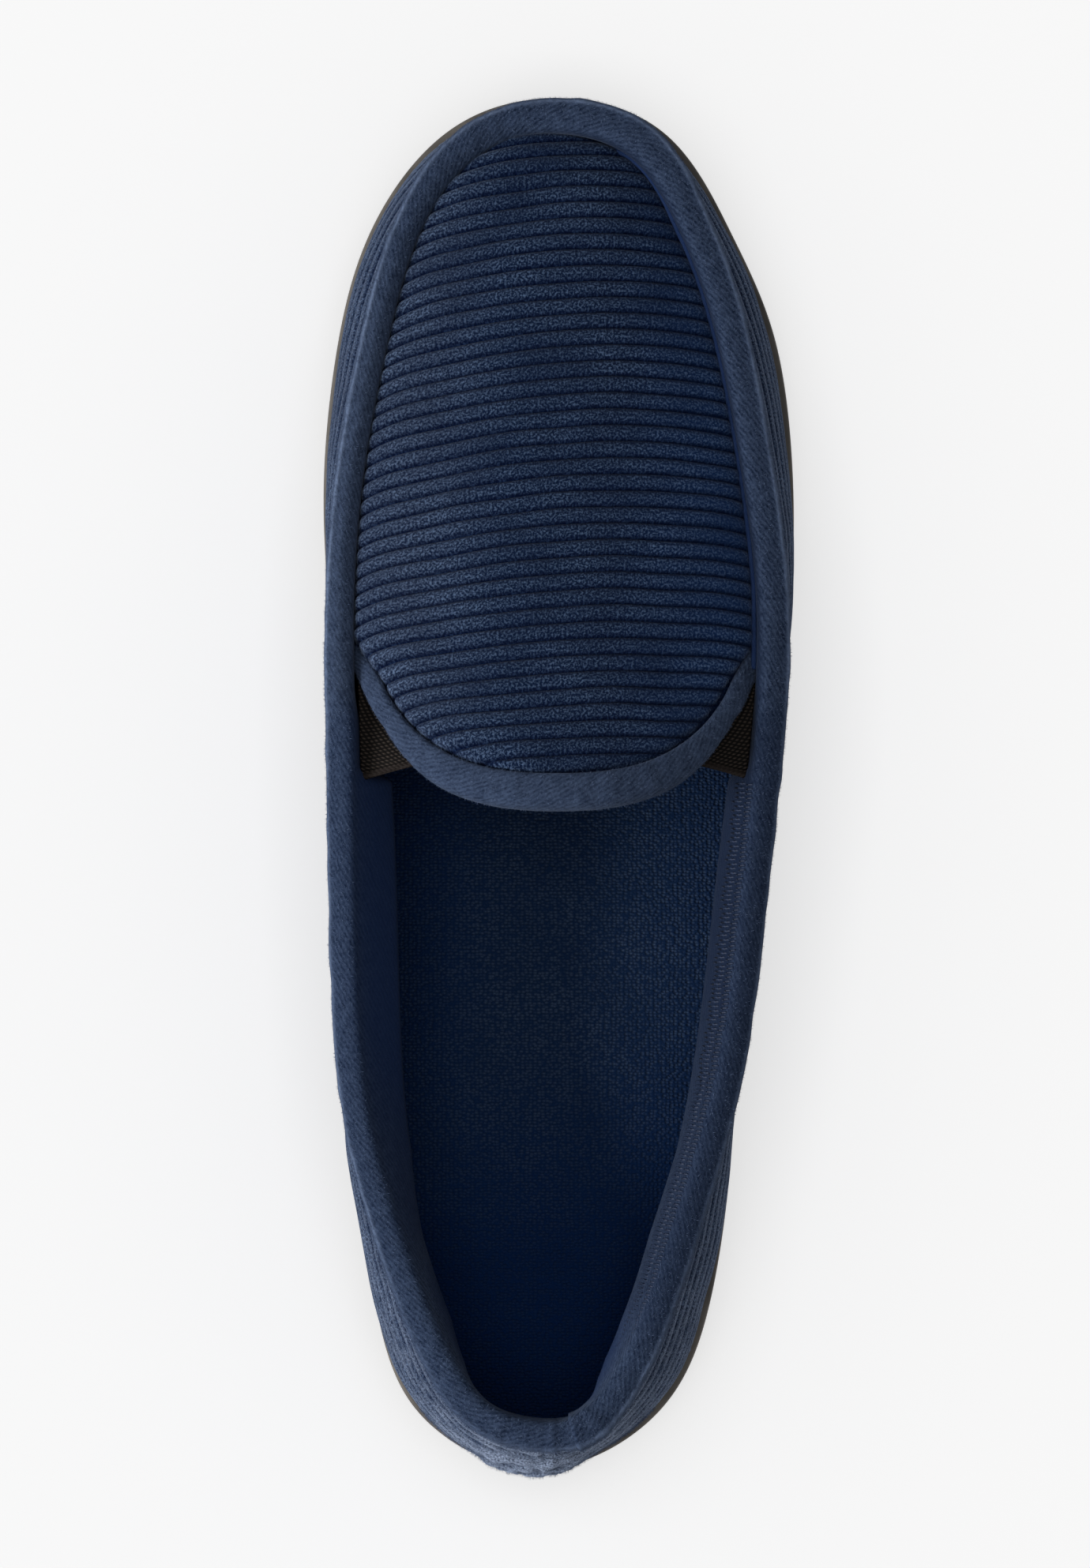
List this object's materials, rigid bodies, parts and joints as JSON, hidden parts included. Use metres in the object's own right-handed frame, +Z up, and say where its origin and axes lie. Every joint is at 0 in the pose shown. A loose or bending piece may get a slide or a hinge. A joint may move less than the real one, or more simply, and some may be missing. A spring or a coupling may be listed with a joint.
{
  "type": "house slipper",
  "caption": "Closed-back moccasin house slipper with a corduroy upper, taped edges, elastic gores at the throat, terry inside and a thin rubber sole.",
  "frame": {"origin": "middle of the footprint's bounding box, on the floor", "axes": "+Y towards the toe, +X towards the wearer's outer (right) side, +Z up"},
  "size_m": [0.1032, 0.3, 0.0798],
  "materials": {
    "sole_rubber": "matt dark brown-black rubber",
    "sock_terry": "dark navy terry",
    "corduroy": "navy wide-wale corduroy",
    "twill_tape": "brushed navy twill tape",
    "elastic": "ribbed black elastic webbing"
  },
  "bodies": {
    "root": {"outsole": "sole_rubber", "insole": "sock_terry", "upper": "corduroy", "collar_binding": "twill_tape", "throat_binding": "twill_tape", "gore_medial": "elastic", "gore_lateral": "elastic"}
  },
  "joints": []
}
